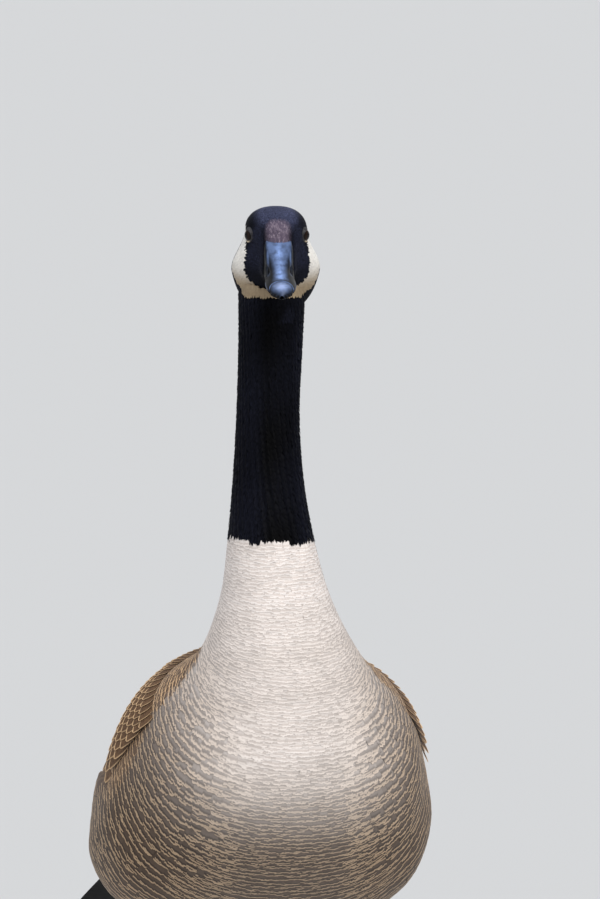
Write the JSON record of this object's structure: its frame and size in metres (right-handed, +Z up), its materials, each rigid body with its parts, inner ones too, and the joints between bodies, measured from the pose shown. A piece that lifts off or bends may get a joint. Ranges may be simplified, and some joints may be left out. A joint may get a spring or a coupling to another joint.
{
  "type": "goose",
  "caption": "Still, life-size Canada goose standing alert, neck straight up, face turned to the viewer, wings folded over the back, webbed feet flat on the floor.",
  "frame": {"origin": "middle of the goose's footprint, on the floor", "axes": "+Z up, -Y the way the goose's body faces, +X to the goose's left"},
  "size_m": [0.2496, 0.5702, 0.6845],
  "materials": {
    "breast_plumage": "pale pinkish-grey body feathers with faint brown bars",
    "black_plumage": "short black feathers with a blue sheen; white cheeks are told in the finish of the render only",
    "wing_feathers": "brown feathers with buff edges",
    "tail_feathers": "black tail feathers",
    "bill": "smooth black horn",
    "eye": "wet dark brown",
    "leg_skin": "black scaly skin"
  },
  "bodies": {
    "root": {"torso": "breast_plumage", "neck": "black_plumage", "head": "black_plumage", "bill_upper": "bill", "bill_lower": "bill", "eye_left": "eye", "eye_right": "eye", "wing_left": "wing_feathers", "wing_right": "wing_feathers", "tail": "tail_feathers", "thigh_left": "breast_plumage", "thigh_right": "breast_plumage", "leg_left": "leg_skin", "leg_right": "leg_skin", "foot_left": "leg_skin", "foot_right": "leg_skin"}
  },
  "joints": []
}
